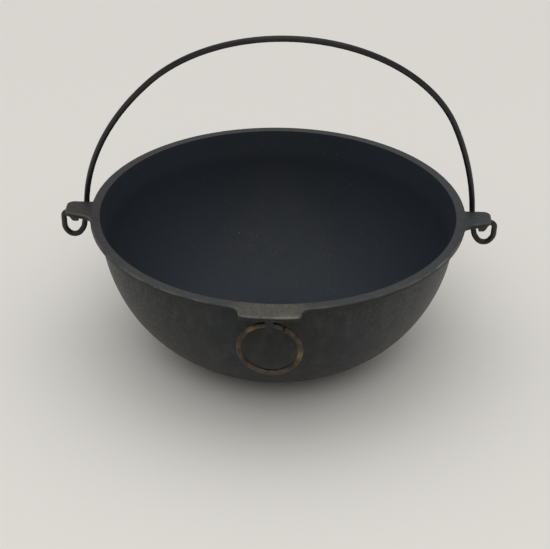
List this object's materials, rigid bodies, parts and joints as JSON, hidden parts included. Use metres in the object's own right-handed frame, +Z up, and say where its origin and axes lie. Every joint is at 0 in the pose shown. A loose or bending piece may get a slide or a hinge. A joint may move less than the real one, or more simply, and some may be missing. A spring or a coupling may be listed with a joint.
{
  "type": "scotch bowl",
  "caption": "Round-bottomed cast iron bowl with a flat rim, two bail ears, a swinging wire bail and a tilting ring under a front tab.",
  "frame": {"origin": "middle of the flat base, on the axis of the bowl", "axes": "+Z up along the bowl's axis, +X from ear to ear, -Y towards the front tab and its ring"},
  "size_m": [0.3669, 0.3223, 0.306],
  "materials": {
    "seasoned_iron": "seasoned, satin, with worn rim edges",
    "dark_wire": "dark brown oxide, dull",
    "coppered_wire": "worn copper wash on steel wire"
  },
  "bodies": {
    "bowl": {"bowl_casting": "seasoned_iron"},
    "bail": {"bail": "dark_wire"},
    "ring": {"pull_ring": "coppered_wire"}
  },
  "joints": [
    {"name": "bail_hinge", "type": "hinge", "parent": "bowl", "child": "bail", "pos_m": [0, 0, 0.1185], "axis": [-1, 0, 0], "range_deg": [0, 116]},
    {"name": "ring_hinge", "type": "hinge", "parent": "bowl", "child": "ring", "pos_m": [0, -0.1614, 0.1163], "axis": [-1, 0, 0], "range_deg": [-17, 115]}
  ]
}
